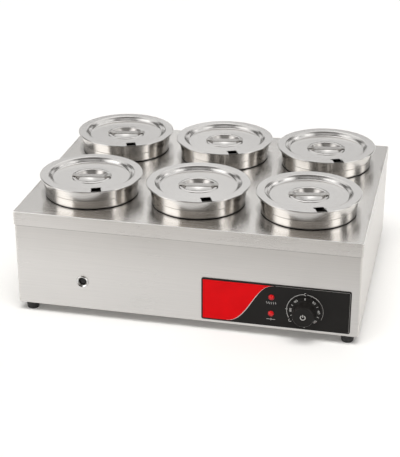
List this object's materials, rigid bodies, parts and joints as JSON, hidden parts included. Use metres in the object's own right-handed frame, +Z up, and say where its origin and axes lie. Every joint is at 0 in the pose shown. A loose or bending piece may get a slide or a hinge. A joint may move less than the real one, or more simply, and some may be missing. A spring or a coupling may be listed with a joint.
{
  "type": "bain marie",
  "caption": "Counter-top electric water bath with round lidded pots hanging in its deck, a dial thermostat, indicator lights and a drain socket on a brushed steel casing.",
  "frame": {"origin": "centre of the whole part's footprint, on the worktop under the feet", "axes": "+X along the front to the right, +Y to the back, +Z up"},
  "size_m": [0.68, 0.5678, 0.2566],
  "materials": {
    "brushed_steel": "brushed stainless sheet, fine lengthways grain",
    "polished_steel": "polished stainless, mirror-like with a soft haze",
    "base_steel": "dull mill-finish steel sheet",
    "element_sheath": "dark annealed steel tube",
    "brass": "turned brass",
    "zinc_steel": "bright zinc plate",
    "ceramic": "unglazed pale ceramic",
    "grey_nylon": "moulded grey nylon",
    "brown_sleeve": "brown wire sleeve",
    "black_sleeve": "black wire sleeve",
    "fascia_black": "satin black plate with a red field and a silver line",
    "red_lens": "clear red moulded lens",
    "chrome": "chromed brass",
    "black_plastic": "satin black moulding",
    "rubber": "matt black rubber"
  },
  "bodies": {
    "casing": {"deck_panel": "brushed_steel", "casing_wrap": "brushed_steel", "rear_panel": "brushed_steel", "base_plate": "base_steel", "water_tank": "brushed_steel", "heating_element": "element_sheath", "element_gland_nut_left": "brass", "element_gland_nut_right": "brass", "thermostat_body": "grey_nylon", "thermostat_capillary": "brass", "bulb_clip": "zinc_steel", "safety_cutout": "zinc_steel", "terminal_block": "ceramic", "thermostat_lead": "brown_sleeve", "element_lead": "brown_sleeve", "cutout_lead": "black_sleeve", "return_lead": "black_sleeve", "supply_lead": "black_sleeve", "control_fascia": "fascia_black", "heat_indicator": "red_lens", "power_indicator": "red_lens", "drain_socket": "chrome", "drain_lock_nut": "brass", "drain_pipe": "brushed_steel", "cable_gland": "black_plastic", "cable_gland_nut": "black_plastic", "earth_stud": "brass", "rear_screw_lower_left": "zinc_steel", "rear_screw_lower_right": "zinc_steel", "rear_screw_upper_left": "zinc_steel", "rear_screw_upper_right": "zinc_steel", "foot_front_left": "rubber", "foot_screw_front_left": "zinc_steel", "foot_front_right": "rubber", "foot_screw_front_right": "zinc_steel", "foot_rear_left": "rubber", "foot_screw_rear_left": "zinc_steel", "foot_rear_right": "rubber", "foot_screw_rear_right": "zinc_steel"},
    "pot_front_left": {"pot_front_left": "polished_steel"},
    "pot_front_middle": {"pot_front_middle": "polished_steel"},
    "pot_front_right": {"pot_front_right": "polished_steel"},
    "pot_rear_left": {"pot_rear_left": "polished_steel"},
    "pot_rear_middle": {"pot_rear_middle": "polished_steel"},
    "pot_rear_right": {"pot_rear_right": "polished_steel"},
    "lid_front_left": {"lid_front_left": "polished_steel", "lid_handle_front_left": "polished_steel"},
    "lid_front_middle": {"lid_front_middle": "polished_steel", "lid_handle_front_middle": "polished_steel"},
    "lid_front_right": {"lid_front_right": "polished_steel", "lid_handle_front_right": "polished_steel"},
    "lid_rear_left": {"lid_rear_left": "polished_steel", "lid_handle_rear_left": "polished_steel"},
    "lid_rear_middle": {"lid_rear_middle": "polished_steel", "lid_handle_rear_middle": "polished_steel"},
    "lid_rear_right": {"lid_rear_right": "polished_steel", "lid_handle_rear_right": "polished_steel"},
    "knob": {"control_knob": "black_plastic", "thermostat_shaft": "zinc_steel"},
    "drain_plug": {"drain_plug": "rubber"}
  },
  "joints": [
    {"name": "pot_lift_front_left", "type": "slide", "parent": "casing", "child": "pot_front_left", "axis": [0, 0, 1], "range_m": [0, 0.18]},
    {"name": "pot_lift_front_middle", "type": "slide", "parent": "casing", "child": "pot_front_middle", "axis": [0, 0, 1], "range_m": [0, 0.18]},
    {"name": "pot_lift_front_right", "type": "slide", "parent": "casing", "child": "pot_front_right", "axis": [0, 0, 1], "range_m": [0, 0.18]},
    {"name": "pot_lift_rear_left", "type": "slide", "parent": "casing", "child": "pot_rear_left", "axis": [0, 0, 1], "range_m": [0, 0.18]},
    {"name": "pot_lift_rear_middle", "type": "slide", "parent": "casing", "child": "pot_rear_middle", "axis": [0, 0, 1], "range_m": [0, 0.18]},
    {"name": "pot_lift_rear_right", "type": "slide", "parent": "casing", "child": "pot_rear_right", "axis": [0, 0, 1], "range_m": [0, 0.18]},
    {"name": "lid_lift_front_left", "type": "slide", "parent": "pot_front_left", "child": "lid_front_left", "axis": [0, 0, 1], "range_m": [0, 0.08]},
    {"name": "lid_lift_front_middle", "type": "slide", "parent": "pot_front_middle", "child": "lid_front_middle", "axis": [0, 0, 1], "range_m": [0, 0.08]},
    {"name": "lid_lift_front_right", "type": "slide", "parent": "pot_front_right", "child": "lid_front_right", "axis": [0, 0, 1], "range_m": [0, 0.08]},
    {"name": "lid_lift_rear_left", "type": "slide", "parent": "pot_rear_left", "child": "lid_rear_left", "axis": [0, 0, 1], "range_m": [0, 0.08]},
    {"name": "lid_lift_rear_middle", "type": "slide", "parent": "pot_rear_middle", "child": "lid_rear_middle", "axis": [0, 0, 1], "range_m": [0, 0.08]},
    {"name": "lid_lift_rear_right", "type": "slide", "parent": "pot_rear_right", "child": "lid_rear_right", "axis": [0, 0, 1], "range_m": [0, 0.08]},
    {"name": "knob_turn", "type": "hinge", "parent": "casing", "child": "knob", "pos_m": [0.2357, -0.25455, 0.0646], "axis": [0, 1, 0], "range_deg": [0, 270]},
    {"name": "plug_pull", "type": "slide", "parent": "casing", "child": "drain_plug", "axis": [0, -1, 0], "range_m": [0, 0.03]}
  ]
}
